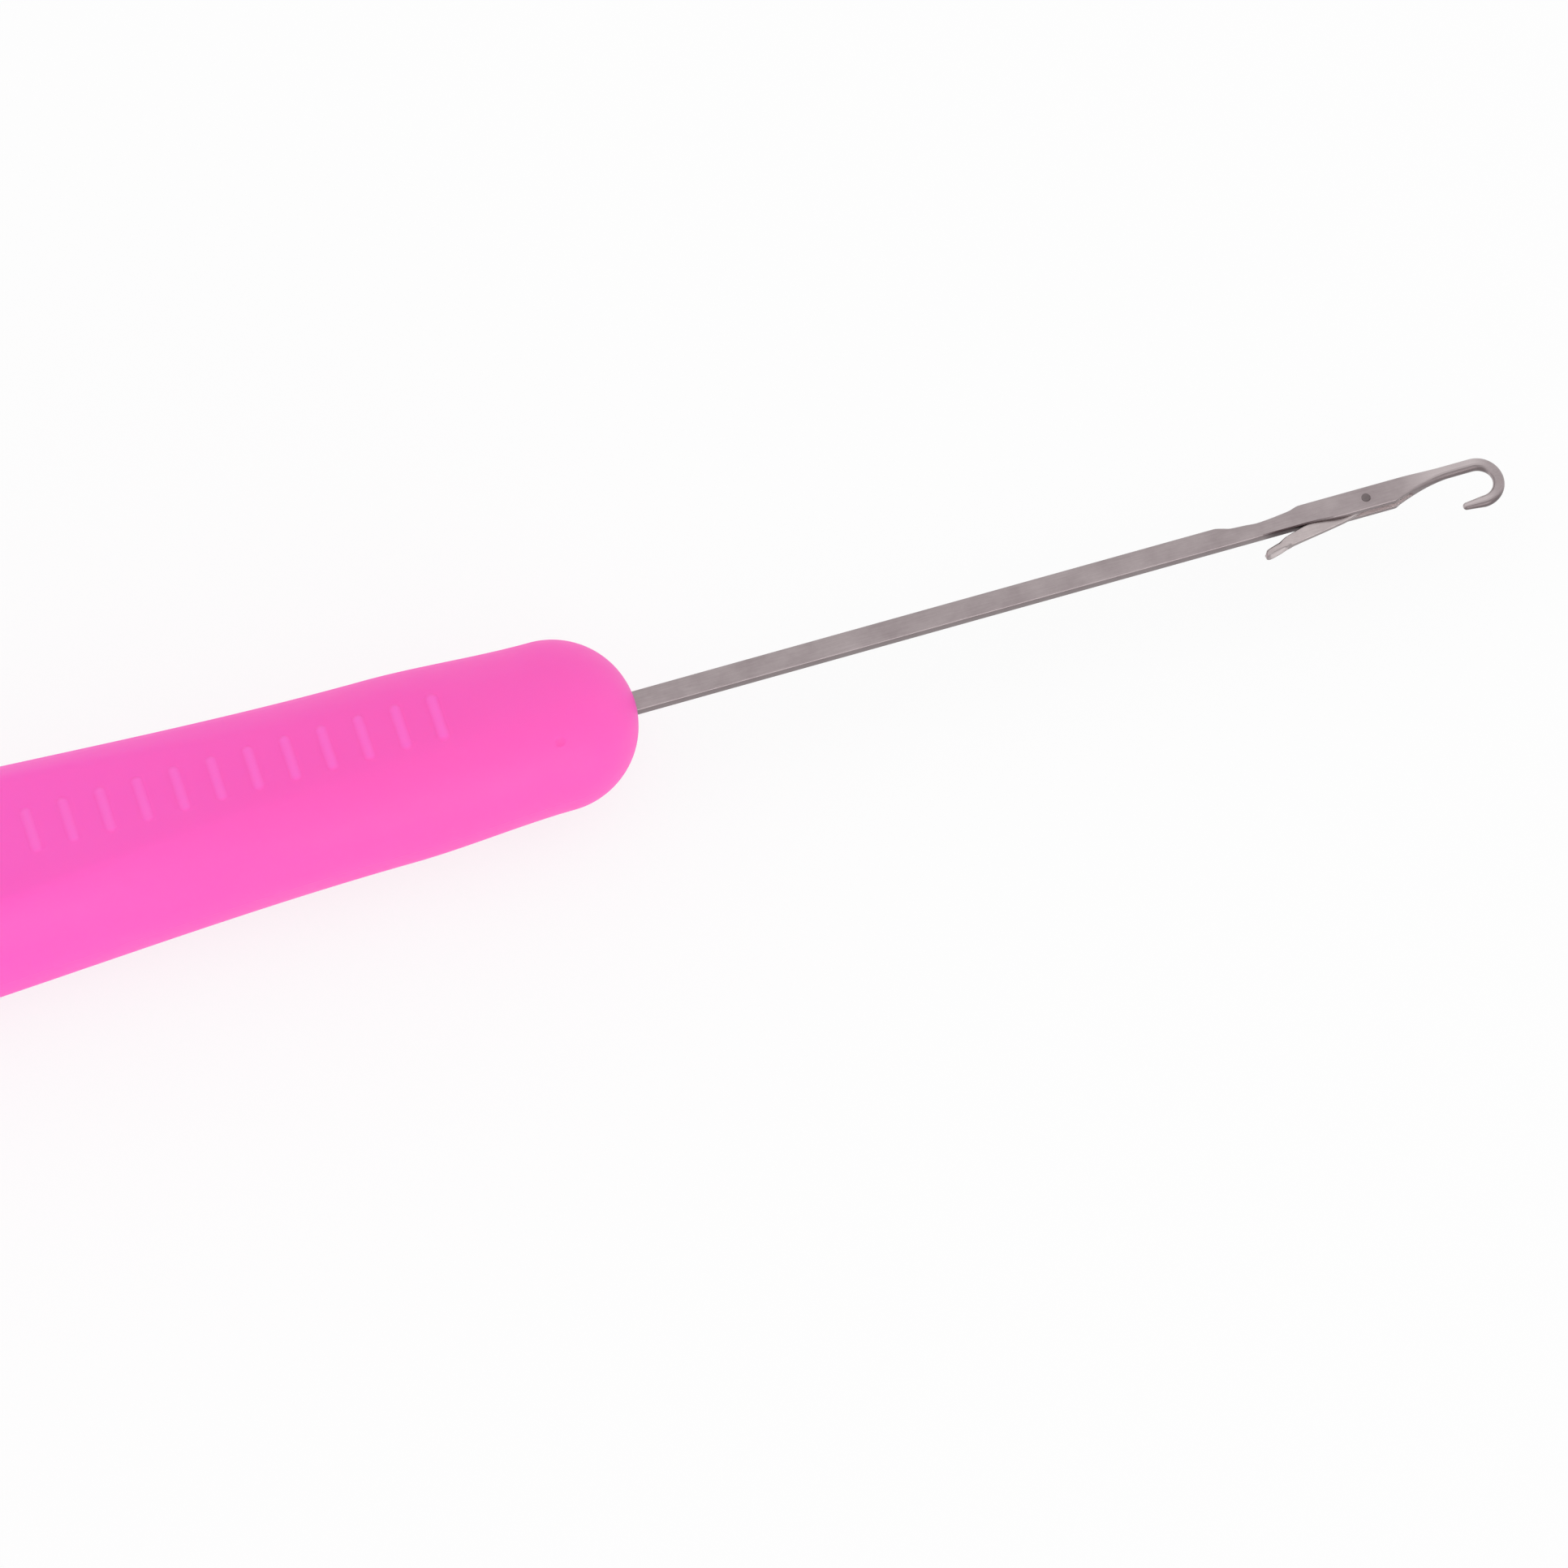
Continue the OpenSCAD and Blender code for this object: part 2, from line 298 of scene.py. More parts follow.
def grip_tree(sizes):
    """The handle's rule: a grid wrapped round the tool's middle line, whose radius swells from the
    round nose to the collar and the belly, and whose two broad sides are flat with soft edges."""
    tree, at = geometry_tree("moulded_grip", sizes)
    at["Columns"] = add(tree, "ShaderNodeMath", {0: at["Sides"], 1: 1}, operation="ADD")
    grid = add(tree, "GeometryNodeMeshGrid", {
        "Size X": 1.0, "Size Y": 1.0, "Vertices X": at["Stations"], "Vertices Y": at["Columns"],
    })
    spot = add(tree, "ShaderNodeSeparateXYZ", {0: add(tree, "GeometryNodeInputPosition")})
    at["Grid X"], at["Grid Y"] = spot.outputs["X"], spot.outputs["Y"]

    places = [
        ("Half length", "MULTIPLY", "Length", 0.5),
        ("Quarter turn", "MULTIPLY", "Grid X", math.pi),
        ("Share", "SINE", "Quarter turn"),
        ("Back", "MULTIPLY_ADD", "Share", "Half length", "Half length"),
        ("Turn", "MULTIPLY_ADD", "Grid Y", 2 * math.pi, math.pi),
        ("To rear", "SUBTRACT", "Length", "Back"),
        ("Tail start", "SUBTRACT", "Length", "Tail radius"),
        ("Nose depth", "MINIMUM", "Back", "Nose radius"),
        ("Nose width", "MULTIPLY", "Nose radius", 2.0),
        ("Nose rest", "SUBTRACT", "Nose width", "Nose depth"),
        ("Nose square", "MULTIPLY", "Nose depth", "Nose rest"),
        ("Nose dome", "SQRT", "Nose square"),
        ("Tail depth", "MINIMUM", "To rear", "Tail radius"),
        ("Tail width", "MULTIPLY", "Tail radius", 2.0),
        ("Tail rest", "SUBTRACT", "Tail width", "Tail depth"),
        ("Tail square", "MULTIPLY", "Tail depth", "Tail rest"),
        ("Tail dome", "SQRT", "Tail square"),
        ("Tail rounding", "SUBTRACT", "Tail radius", "Tail dome"),
        ("Collar growth", "SUBTRACT", "Collar radius", "Nose radius"),
        ("Belly growth", "SUBTRACT", "Belly radius", "Collar radius"),
        ("Tail growth", "SUBTRACT", "Tail radius", "Belly radius"),
    ]
    for name, operation, *terms in places:
        inputs = {k: at.get(term, term) for k, term in enumerate(terms)}
        at[name] = add(tree, "ShaderNodeMath", inputs, operation=operation, label=name)

    radius = at["Nose dome"]
    swells = [
        ("Nose radius", "Collar distance", "Collar growth"),
        ("Collar distance", "Belly distance", "Belly growth"),
        ("Belly distance", "Tail start", "Tail growth"),
    ]
    for start, end, growth in swells:
        swell = add(tree, "ShaderNodeMapRange", {
            "Value": at["Back"], "From Min": at[start], "From Max": at[end], "To Max": at[growth],
        }, interpolation_type="SMOOTHSTEP")
        radius = add(tree, "ShaderNodeMath", {0: radius, 1: swell}, operation="ADD")
    at["Full radius"] = radius

    section = [
        ("Radius", "SUBTRACT", "Full radius", "Tail rounding"),
        ("Across", "COSINE", "Turn"),
        ("Up", "SINE", "Turn"),
        ("Side", "MULTIPLY", "Radius", "Across"),
        ("Height", "MULTIPLY", "Radius", "Up"),
        ("Flat height", "MULTIPLY", "Flat thickness", 0.5),
        ("Size of height", "ABSOLUTE", "Height"),
        ("Level", "SMOOTH_MIN", "Size of height", "Flat height", "Edge softness"),
        ("Direction", "SIGN", "Height"),
        ("Flattened", "MULTIPLY", "Level", "Direction"),
        ("Along", "MULTIPLY", "Back", -1.0),
    ]
    for name, operation, *terms in section:
        inputs = {k: at.get(term, term) for k, term in enumerate(terms)}
        at[name] = add(tree, "ShaderNodeMath", inputs, operation=operation, label=name)

    point = add(tree, "ShaderNodeCombineXYZ", {
        "X": at["Along"], "Y": at["Side"], "Z": at["Flattened"],
    })
    placed = add(tree, "ShaderNodeVectorMath", {0: point, 1: at["Nose place"]})
    wrapped = add(tree, "GeometryNodeSetPosition", {"Geometry": grid, "Position": placed})
    closed = add(tree, "GeometryNodeMergeByDistance", {
        "Geometry": wrapped, "Distance": 0.001 * MM,
    })
    close_tree(tree, closed, at["Material"])
    return tree


def rib_tree(sizes):
    """A row of low bars with round ends. Each is a long lens that stands out of the face it is
    sunk in, so that it swells out of the plastic without a hard crease."""
    tree, at = geometry_tree("thumb_ribs", sizes)
    # An odd number of rings leaves no point on the middle, where the ball is pulled apart.
    ball = add(tree, "GeometryNodeMeshUVSphere", {
        "Segments": 48, "Rings": 25, "Radius": at["Lens radius"],
    })
    lying = add(tree, "GeometryNodeTransform", {
        "Geometry": ball, "Rotation": (math.pi / 2, 0, 0),
    })
    spot = add(tree, "ShaderNodeSeparateXYZ", {0: add(tree, "GeometryNodeInputPosition")})
    end = add(tree, "ShaderNodeMath", {0: spot.outputs["Y"]}, operation="SIGN")
    apart = add(tree, "ShaderNodeMath", {0: end, 1: at["Reach"]}, operation="MULTIPLY")
    pulled = add(tree, "GeometryNodeSetPosition", {
        "Geometry": lying, "Offset": add(tree, "ShaderNodeCombineXYZ", {"Y": apart}),
    })
    flatter = add(tree, "ShaderNodeCombineXYZ", {"X": 1.0, "Y": 1.0, "Z": at["Flattening"]})
    rib = add(tree, "GeometryNodeTransform", {"Geometry": pulled, "Scale": flatter})
    row = add(tree, "GeometryNodeMeshLine", {
        "Count": at["Count"], "Start Location": at["First rib"], "Offset": at["Step"],
    })
    ribs = add(tree, "GeometryNodeInstanceOnPoints", {"Points": row, "Instance": rib})
    close_tree(tree, ribs, at["Material"])
    return tree


# Materials

def linear(code):
    """An sRGB hex colour as the linear colour that the shader takes."""
    parts = [int(code[i:i + 2], 16) / 255 for i in (1, 3, 5)]
    return [p / 12.92 if p <= 0.04045 else ((p + 0.055) / 1.055) ** 2.4 for p in parts] + [1]


def per(size_mm):
    """Scale of a pattern whose features have this real size."""
    return 1 / (size_mm * MM)


def material_tree(name):
    """A material, its empty tree, and the socket that says where a point is on its object."""
    material = bpy.data.materials.new(name)
    material.use_nodes = True
    tree = material.node_tree
    tree.nodes.clear()
    spot = add(tree, "ShaderNodeTexCoord").outputs["Object"]
    return material, tree, spot


def moulded_polypropylene():
    """Pink polypropylene, injection moulded in a fine-blasted mould: a soft satin gloss, a little
    light carried under the skin, a faint flow pattern, a cooler pink towards the rear, ribs paler
    than the rest, and the hair line where the mould's halves met."""
    material, tree, spot = material_tree("moulded_polypropylene_pink")
    parts = add(tree, "ShaderNodeSeparateXYZ", {0: spot}).outputs

    flow = add(tree, "ShaderNodeMapping", {"Vector": spot, "Scale": (0.35, 1, 1)})
    cloud = add(tree, "ShaderNodeTexNoise", {
        "Vector": flow, "Scale": per(16), "Detail": 3.0, "Roughness": 0.45,
    })
    cloud_share = add(tree, "ShaderNodeMapRange", {
        "Value": cloud, "From Min": 0.3, "From Max": 0.7,
    })
    mottled = add(tree, "ShaderNodeMix", {
        "Factor": cloud_share, "A": linear("#FD55BA"), "B": linear("#FF5CC0"),
    }, data_type="RGBA")
    towards_rear = add(tree, "ShaderNodeMapRange", {
        "Value": parts["X"], "From Min": (NOSE.x - 12) * MM, "From Max": (NOSE.x - 50) * MM,
        "To Max": 0.6,
    }, interpolation_type="SMOOTHSTEP")
    colour = add(tree, "ShaderNodeMix", {
        "Factor": towards_rear, "A": mottled.outputs["Result"], "B": linear("#FF5AC8"),
    }, data_type="RGBA")
    on_ribs = add(tree, "ShaderNodeAttribute", attribute_name="raised").outputs["Fac"]
    colour = add(tree, "ShaderNodeMix", {
        "Factor": on_ribs, "A": colour.outputs["Result"], "B": linear("#FF66C9"),
    }, data_type="RGBA")

    scuffs = add(tree, "ShaderNodeTexNoise", {
        "Vector": flow, "Scale": per(5), "Detail": 6.0, "Roughness": 0.7,
    })
    roughness = add(tree, "ShaderNodeMapRange", {
        "Value": scuffs, "From Min": 0.35, "From Max": 0.7, "To Min": 0.5, "To Max": 0.64,
    })

    peel = add(tree, "ShaderNodeTexNoise", {"Vector": spot, "Scale": per(2.4), "Detail": 1.0})
    orange_peel = add(tree, "ShaderNodeBump", {
        "Height": peel, "Strength": 0.25, "Distance": 0.012 * MM,
    })
    # The blasting's own grit is finer than this, and would not show.
    blast = add(tree, "ShaderNodeTexNoise", {"Vector": spot, "Scale": per(0.35), "Detail": 2.0})
    blasted = add(tree, "ShaderNodeBump", {
        "Height": blast, "Strength": 0.3, "Distance": 0.006 * MM, "Normal": orange_peel,
    })
    off_line = add(tree, "ShaderNodeMath", {0: parts["Z"], 1: NOSE.z * MM}, operation="SUBTRACT")
    distance = add(tree, "ShaderNodeMath", {0: off_line}, operation="ABSOLUTE")
    parting = add(tree, "ShaderNodeMapRange", {
        "Value": distance, "From Max": 0.09 * MM, "To Min": 1.0, "To Max": 0.0,
    })
    seam = add(tree, "ShaderNodeBump", {
        "Height": parting, "Strength": 0.6, "Distance": 0.02 * MM, "Normal": blasted,
    })

    shader = add(tree, "ShaderNodeBsdfPrincipled", {
        "Base Color": colour.outputs["Result"], "Roughness": roughness, "IOR": 1.49,
        "Subsurface Weight": 0.35, "Subsurface Radius": (1.0, 0.35, 0.6),
        "Subsurface Scale": 1.6 * MM, "Normal": seam,
    })
    add(tree, "ShaderNodeOutputMaterial", {0: shader})
    return material


def plated_steel(name, dark, light, painted_shade_colour, painted_light_and_cup_colour, grain_mm, shine):
    """Nickel-plated steel: warm grey, drawn or stamped with its grain along the needle, then
    barrel polished, so that its gloss is uneven and its flat faces carry fine short marks. The
    piece's own marks say where it takes a painted shade, and where a paler colour: painted light
    on the needle, the pressed cup's own finish on the latch."""
    material, tree, spot = material_tree(name)
    painted_shade_share = add(tree, "ShaderNodeAttribute", attribute_name="painted_shade").outputs["Fac"]
    painted_light_and_cup_share = add(tree, "ShaderNodeAttribute", attribute_name="painted_light_and_cup").outputs["Fac"]

    drawn = add(tree, "ShaderNodeMapping", {"Vector": spot, "Scale": (0.06, 1, 1)})
    grain = add(tree, "ShaderNodeTexNoise", {
        "Vector": drawn, "Scale": per(grain_mm), "Detail": 4.0, "Roughness": 0.6,
    })
    patches = add(tree, "ShaderNodeTexNoise", {
        "Vector": spot, "Scale": per(2.6), "Detail": 5.0, "Roughness": 0.65,
    })
    tone = add(tree, "ShaderNodeMath", {0: grain, 1: 0.45, 2: patches}, operation="MULTIPLY_ADD")
    lightness = add(tree, "ShaderNodeMapRange", {"Value": tone, "From Min": 0.45})
    colour = add(tree, "ShaderNodeMix", {
        "Factor": lightness, "A": linear(dark), "B": linear(light),
    }, data_type="RGBA")
    # The darker mix is painted shade; the paler one is painted light on the needle and the cup's
    # own finish on the latch.
    for share, finish in ((painted_shade_share, painted_shade_colour), (painted_light_and_cup_share, painted_light_and_cup_colour)):
        colour = add(tree, "ShaderNodeMix", {
            "Factor": share, "A": colour.outputs["Result"], "B": linear(finish),
        }, data_type="RGBA")

    polish = add(tree, "ShaderNodeMapRange", {
        "Value": patches, "From Min": 0.3, "From Max": 0.7,
        "To Min": shine, "To Max": shine + 0.14,
    })
    roughness = add(tree, "ShaderNodeMath", {
        0: painted_light_and_cup_share, 1: 0.2, 2: polish,
    }, operation="MULTIPLY_ADD")

    # The marks of the barrel are finer than this, and are drawn as coarse as they need to show.
    dents = add(tree, "ShaderNodeTexNoise", {"Vector": spot, "Scale": per(0.5), "Detail": 3.0})
    tumbled = add(tree, "ShaderNodeBump", {
        "Height": dents, "Strength": 0.35, "Distance": 0.012 * MM,
    })
    lined = add(tree, "ShaderNodeBump", {
        "Height": grain, "Strength": 0.35, "Distance": 0.006 * MM, "Normal": tumbled,
    })
    shader = add(tree, "ShaderNodeBsdfPrincipled", {
        "Base Color": colour.outputs["Result"], "Metallic": 1.0, "Roughness": roughness,
        "Normal": lined,
    })
    add(tree, "ShaderNodeOutputMaterial", {0: shader})
    return material


def mark_faces(piece, name, share):
    """Gives each face a number for its material, from its middle in millimetres and its normal."""
    marks = piece.data.attributes.new(name, "FLOAT", "FACE")
    for face, mark in zip(piece.data.polygons, marks.data):
        mark.value = share(face.center / MM - NOSE, face.normal)


# Handle

pink = moulded_polypropylene()
grip_sizes = {
    "Length": (HANDLE_LENGTH - HAIR) * MM,      # short of the solid's end, to stay inside its box
    "Nose radius": NOSE_R * MM,
    "Collar radius": COLLAR_R * MM,
    "Collar distance": COLLAR_BACK * MM,
    "Belly radius": BELLY_R * MM,
    "Belly distance": BELLY_BACK * MM,
    "Tail radius": TAIL_R * MM,
    "Flat thickness": HANDLE_T * MM,
    "Edge softness": FLAT_EDGE * MM,
    "Stations": 260,
    "Sides": 180,
    "Nose place": NOSE * MM,
}

# Each rib's lens is sunk by this share of its own half thickness
lens_sink = math.sqrt(1 - 1 / RIB_SPREAD**2)
lens_half = RIB_H / (1 - lens_sink)
lens_radius = RIB_SPREAD * RIB_W / 2
rib_sizes = {
    "Count": RIB_COUNT,
    "Lens radius": lens_radius * MM,
    "Reach": (RIB_LENGTH - RIB_W) / 2 * MM,
    "Flattening": lens_half / lens_radius,
    "First rib": place(-RIB_FIRST, 0, HANDLE_T / 2 - lens_half * lens_sink),
    "Step": Vector((-RIB_PITCH * MM, 0, 0)),
}
handle = grown("handle_moulding", grip_tree(grip_sizes), grip_sizes, pink)
ribs = grown("ribs", rib_tree(rib_sizes), rib_sizes, pink)
combine(handle, "UNION", [ribs])

half_h = SHANK_H / 2
half_t = SHANK_T / 2
tang_room = bar("tang_room", (-TANG_LENGTH, -half_h, -half_t), (CUT_REACH, half_h, half_t))
gate_ball = (GATE_R**2 / GATE_DEPTH + GATE_DEPTH) / 2       # ball whose cap is the mark's hollow
gate_out = NOSE_R - GATE_DEPTH + gate_ball
gate_middle = Vector((
    -GATE_BACK, -gate_out * math.sin(GATE_TURN), gate_out * math.cos(GATE_TURN),
))
gate_rows = [math.pi * (i + 0.5) / BALL_ROWS for i in range(BALL_ROWS)]
gate = loft("gate", [
    [place(*(gate_middle + gate_ball * Vector((
        math.sin(b) * math.cos(a), math.sin(b) * math.sin(a), math.cos(b),
    )))) for a in circle_turns(BALL_SIDES)]
    for b in gate_rows
])
combine(handle, "DIFFERENCE", [tang_room, gate])


def raised(middle, normal):
    """How far a face stands up from the flat, from 0 on the flat to 1 on top of a rib."""
    return min(max((middle.z - HANDLE_T / 2) / RIB_H, 0), 1)


mark_faces(handle, "raised", raised)
finish(handle, pink, "tool", "handle_plastic", "handle", sharp=40)


# Needle

# Points of the strip's edges and sizes, from its waist to the bend of its wire
CHEEKS_FULL = (49.2, RIVET.x + 1.8)             # where the cheeks are at their widest
WIRE_FROM = 56.3                                # where the stem is fully round
CROWN = Vector((BEND.x - HAIR, BEND.y))         # short of the solid's bend, to stay inside its box
WAIST_DROP = [
    (40.4, 0), (41, 0.14), (41.5, 0.29), (42.5, 0.36), (43.3, 0.43), (44, 0.39), (45, 0.28),
    (45.6, 0.2), (46.4, 0),
]
BACK_EDGE = [(x, half_h - drop) for x, drop in WAIST_DROP] + [
    (CROWN.x, CROWN.y + BEND_R + WIRE_R),
]
LOWER_EDGE = [
    (46.4, -half_h), (CHEEKS_FULL[0], CHEEK_LOW), (CHEEKS_FULL[1], CHEEK_LOW), (53, -0.84),
    (53.5, -0.67), (54, -0.53), (54.5, -0.41), (55, -0.31), (55.5, -0.235), (56, -0.17),
    (56.6, -0.12), (CROWN.x, CROWN.y + BEND_R - WIRE_R),
]
BACK_T = [(53, SHANK_T), (WIRE_FROM, 2 * WIRE_R)]
LOWER_T = [
    (46.4, SHANK_T), (CHEEKS_FULL[0], CHEEK_T), (CHEEKS_FULL[1], CHEEK_T), (53.5, 1.15),
    (54.5, 0.98), (55.5, 0.88), (WIRE_FROM, 2 * WIRE_R),
]
ROUNDING = [(53.3, ARRIS), (WIRE_FROM, WIRE_R)]

# How its faces are finished, and where shade and light are painted on them
SHADED_POCKET = (42.6, 44.4, 46, 50)       # where the open latch folds against the strip, with its fades: painted shade for the narrow gap
EDGE_SHADE = 0.42                      # painted shade on the strip's edges
UNDER_WIRE_SHADE = 0.6                    # painted shade on the wire's underside
WIRE_HIGHLIGHT = 0.3                        # painted highlight on the wire's upper side


def strip_section(back, low, back_t, low_t, rounding, steps=7):
    """Points of a strip's cross-section with round edges, as pairs of height and side."""
    corners = [
        (back, back_t / 2, 0), (back, -back_t / 2, 3), (low, -low_t / 2, 2), (low, low_t / 2, 1),
    ]
    points = []
    for height, side, quarter in corners:
        up = -1 if height == back else 1
        inward = -1 if side > 0 else 1
        middle = (height + up * rounding, side + inward * rounding)
        for k in reversed(range(steps)):
            a = math.pi / 2 * (quarter + k / (steps - 1))
            points.append((middle[0] + rounding * math.cos(a), middle[1] + rounding * math.sin(a)))
    return points


def strip_ring(x):
    """A ring across the strip."""
    back, low = through(BACK_EDGE, x), through(LOWER_EDGE, x)
    back_t, low_t = through(BACK_T, x), through(LOWER_T, x)
    most = ROUND * min(back - low, back_t, low_t) / 2
    section = strip_section(back, low, back_t, low_t, min(through(ROUNDING, x), most))
    return [place(x, height, side) for height, side in section]


def wire_ring(middle, outward, radius):
    """A ring of wire round a point of its middle line, across an outward direction."""
    section = strip_section(radius, -radius, 2 * radius, 2 * radius, ROUND * radius)
    return [
        place(middle.x + outward.x * height, middle.y + outward.y * height, side)
        for height, side in section
    ]


notch_at = -TANG_LENGTH + 2 * TANG_NOTCH_LENGTH

# The rings stand closest at the waist and along the stem, where the outline bends most
strip_places = (
    [-TANG_LENGTH, notch_at - 2] + stations(0, 40, 20) + stations(40, 47, 70)
    + stations(47, 52, 20) + stations(52, CROWN.x, 80)
)
needle_rings = [strip_ring(x) for x in strip_places]
BEND_STEPS = 56
for k in range(BEND_STEPS + 1):
    share = k / BEND_STEPS
    turn = math.pi / 2 - math.pi * share
    outward = Vector((math.cos(turn), math.sin(turn)))
    radius = WIRE_R + (BEND_END_R - WIRE_R) * ease(min(2 * share, 1))
    needle_rings.append(wire_ring(CROWN + outward * BEND_R, outward, radius))
down = Vector((0, -1))
point = Vector((CROWN.x - POINT_LENGTH, CROWN.y - BEND_R))
for share in stations(0, 1, 16)[1:] + [1]:
    middle = Vector((CROWN.x - POINT_LENGTH * share, point.y))
    needle_rings.append(wire_ring(middle, down, BEND_END_R + (POINT_R - BEND_END_R) * share))
for turn in stations(0, math.pi / 2, 9)[1:]:
    middle = Vector((point.x - POINT_R * math.sin(turn), point.y))
    needle_rings.append(wire_ring(middle, down, POINT_R * math.cos(turn)))
needle = loft("needle_blank", needle_rings)

slot_middle = Vector((RIVET.x + (SLOT_FRONT - SLOT_REAR) / 2, SLOT_TOP - SLOT_R))
slot = turned("slot", [(SLOT_R, -SLOT_W / 2), (SLOT_R, SLOT_W / 2)], sides=512, at=slot_middle)
cheek_slope = (CHEEK_T - SHANK_T) / 2 / (half_h - CHEEK_LOW)
cheek_half = half_t + cheek_slope * (half_h - RIVET.y)
sink_from = cheek_half - SINK
rivet_hole = turned("rivet_hole", [
    (RIVET_R + SINK + SINK_OUT, -cheek_half - SINK_OUT), (RIVET_R, -sink_from),
    (RIVET_R, sink_from), (RIVET_R + SINK + SINK_OUT, cheek_half + SINK_OUT),
])
notches = [
    bar("notch", (notch_at - TANG_NOTCH_LENGTH / 2, side * half_h - TANG_NOTCH, -CUT_REACH),
        (notch_at + TANG_NOTCH_LENGTH / 2, side * half_h + TANG_NOTCH, CUT_REACH))
    for side in (-1, 1)
]
combine(needle, "DIFFERENCE", [slot, rivet_hole] + notches)


def painted_light_and_cup(middle, normal):
    """Painted light: 1 for the slot's walls, painted paler than the shade they sit in, and some for
    the wire's upper side, as a painted highlight.
    """
    in_cut = (middle.xy - slot_middle).length < SLOT_R + HAIR
    if in_cut and abs(middle.z) < SLOT_W / 2 + HAIR and abs(normal.z) > 0.5:
        return 1.0
    on_wire = share_of(middle.x, CHEEKS_FULL[1], WIRE_FROM)
    on_bend = share_of(middle.x, CROWN.x, CROWN.x + BEND_R)
    return WIRE_HIGHLIGHT * share_of(normal.y, -0.6, -0.1) * on_wire * (1 - on_bend)


def painted_shade(middle, normal):
    """Painted shade: most for the edge that the latch folds against, standing for the shade in the
    narrow gap there, less for the underside of the wire and least for the strip's other edges."""
    start, full, fading, end = SHADED_POCKET
    pocket_shade = share_of(middle.x, start, full) * (1 - share_of(middle.x, fading, end))
    if normal.y < -0.5 and pocket_shade > EDGE_SHADE:
        return pocket_shade
    on_wire = share_of(middle.x, CHEEKS_FULL[1], WIRE_FROM)
    under = share_of(-normal.y, 0.35, 0.75)
    edge = share_of(abs(normal.y), 0.65, 0.95)
    return UNDER_WIRE_SHADE * under * on_wire + EDGE_SHADE * edge * (1 - on_wire)


mark_faces(needle, "painted_light_and_cup", painted_light_and_cup)
mark_faces(needle, "painted_shade", painted_shade)
# Its third colour is the painted shade, its fourth the painted light on the slot's walls and the
# wire's top.
needle_steel = plated_steel(
    "plated_needle_steel", "#95898B", "#B0A5A6", "#4A3E40", "#F6ECEC", 0.09, 0.3,
)
finish(needle, needle_steel, "tool", "needle_steel", "needle")


# Rivet

head_rim = RIVET_R + SINK - HEAD_GAP
head_outline = [(head_rim, -HEAD_DROP), (head_rim - HEAD_BEVEL, 0)]
head_outline += [(radius, -depth) for radius, depth in PEENED]
lower_half = [(radius, -cheek_half - z) for radius, z in reversed(head_outline)]
upper_half = [(radius, cheek_half + z) for radius, z in head_outline]
rivet = turned("rivet_pin", lower_half + [
    (RIVET_R, -sink_from), (RIVET_R, sink_from),
] + upper_half, sides=64)
rivet_steel = plated_steel(
    "peened_rivet_steel", "#6A6162", "#8F8686", "#6A6162", "#8F8686", 0.05, 0.34,
)
finish(rivet, rivet_steel, "tool", "rivet_steel", "rivet", sharp=60)


# Latch

# Heights of its edges, its half width, its cup and how square it is, along the way to its tip
spoon_start = LATCH_LENGTH - SPOON_LENGTH
round_start = LATCH_LENGTH - SPOON_W / 2        # where the spoon's rim turns into its round end
CLOSING_EDGE = [
    (0, HUB_R), (1.9, CLOSING_H), (2.9, 0.63), (3.9, 0.56), (4.9, 0.48), (spoon_start, 0.4),
    (spoon_start + 0.4, SPOON_RIM),
]
NEEDLE_EDGE = [
    (0, HUB_R), (spoon_start - 0.1, NECK_H / 2), (spoon_start + 0.6, 0.21),
    (spoon_start + 1.1, SPOON_SAG), (LATCH_LENGTH - 0.3, 0.12), (LATCH_LENGTH, -0.1),
]
HALF_WIDTH = [
    (spoon_start - 0.4, LATCH_T / 2), (spoon_start + 0.3, 0.31), (spoon_start + 0.8, 0.45),
    (round_start - 0.2, SPOON_W / 2),
]
CUP = [
    (spoon_start + 0.12, 0), (spoon_start + 0.45, CUP_DEPTH), (LATCH_LENGTH - 0.42, CUP_DEPTH),
    (LATCH_LENGTH - 0.1, 0),
]
SQUARENESS = [(spoon_start - 0.2, 7), (spoon_start + 0.7, 2.3)]
BLADE_SQUARENESS = 6
EDGE_FADE = 1.8                     # length over which the blade edge's painted shade clears up to the spoon
OPEN_ALONG = Vector((math.cos(OPEN_TURN), math.sin(OPEN_TURN)))
OPEN_UP = Vector((-OPEN_ALONG.y, OPEN_ALONG.x))


def round_end(way, least):
    """Share of its full width that a round end has left, at some way out to its tip. It keeps a
    least share, so that the last ring isn't a point."""
    return math.sqrt(max(1 - way * way, least * least))


def latch_ring(u, steps=28):
    """A ring across the latch: a flat blade that turns into a spoon with a cup in its upper
    side."""
    top, under = through(CLOSING_EDGE, u), -through(NEEDLE_EDGE, u)
    width = through(HALF_WIDTH, u)
    if u > round_start:
        width *= round_end((u - round_start) / (SPOON_W / 2), 0.02)
    if u < 0:
        share = round_end(u / HUB_R, 0.03)
        top, under = top * share, under * share
    rim_depth = RIM_DEPTH + RIM_FALL * max(0, spoon_start - u)
    middle = top - min((top - under) / 2, rim_depth)
    power, cup = through(SQUARENESS, u), through(CUP, u)
    ring = []
    for k in range(2 * steps):
        side = math.cos(math.pi * k / steps)
        if k <= steps:
            bowl = cup * max(0.0, 1 - (side / CUP_SHARE) ** 2)
            edge = (1 - abs(side) ** BLADE_SQUARENESS) ** (1 / BLADE_SQUARENESS)
            v = middle + (top - middle) * edge - bowl
        else:
            v = middle - (middle - under) * (1 - abs(side) ** power) ** (1 / power)
        spot = RIVET + OPEN_ALONG * u + OPEN_UP * v
        ring.append(place(spot.x, spot.y, side * width))
    return ring


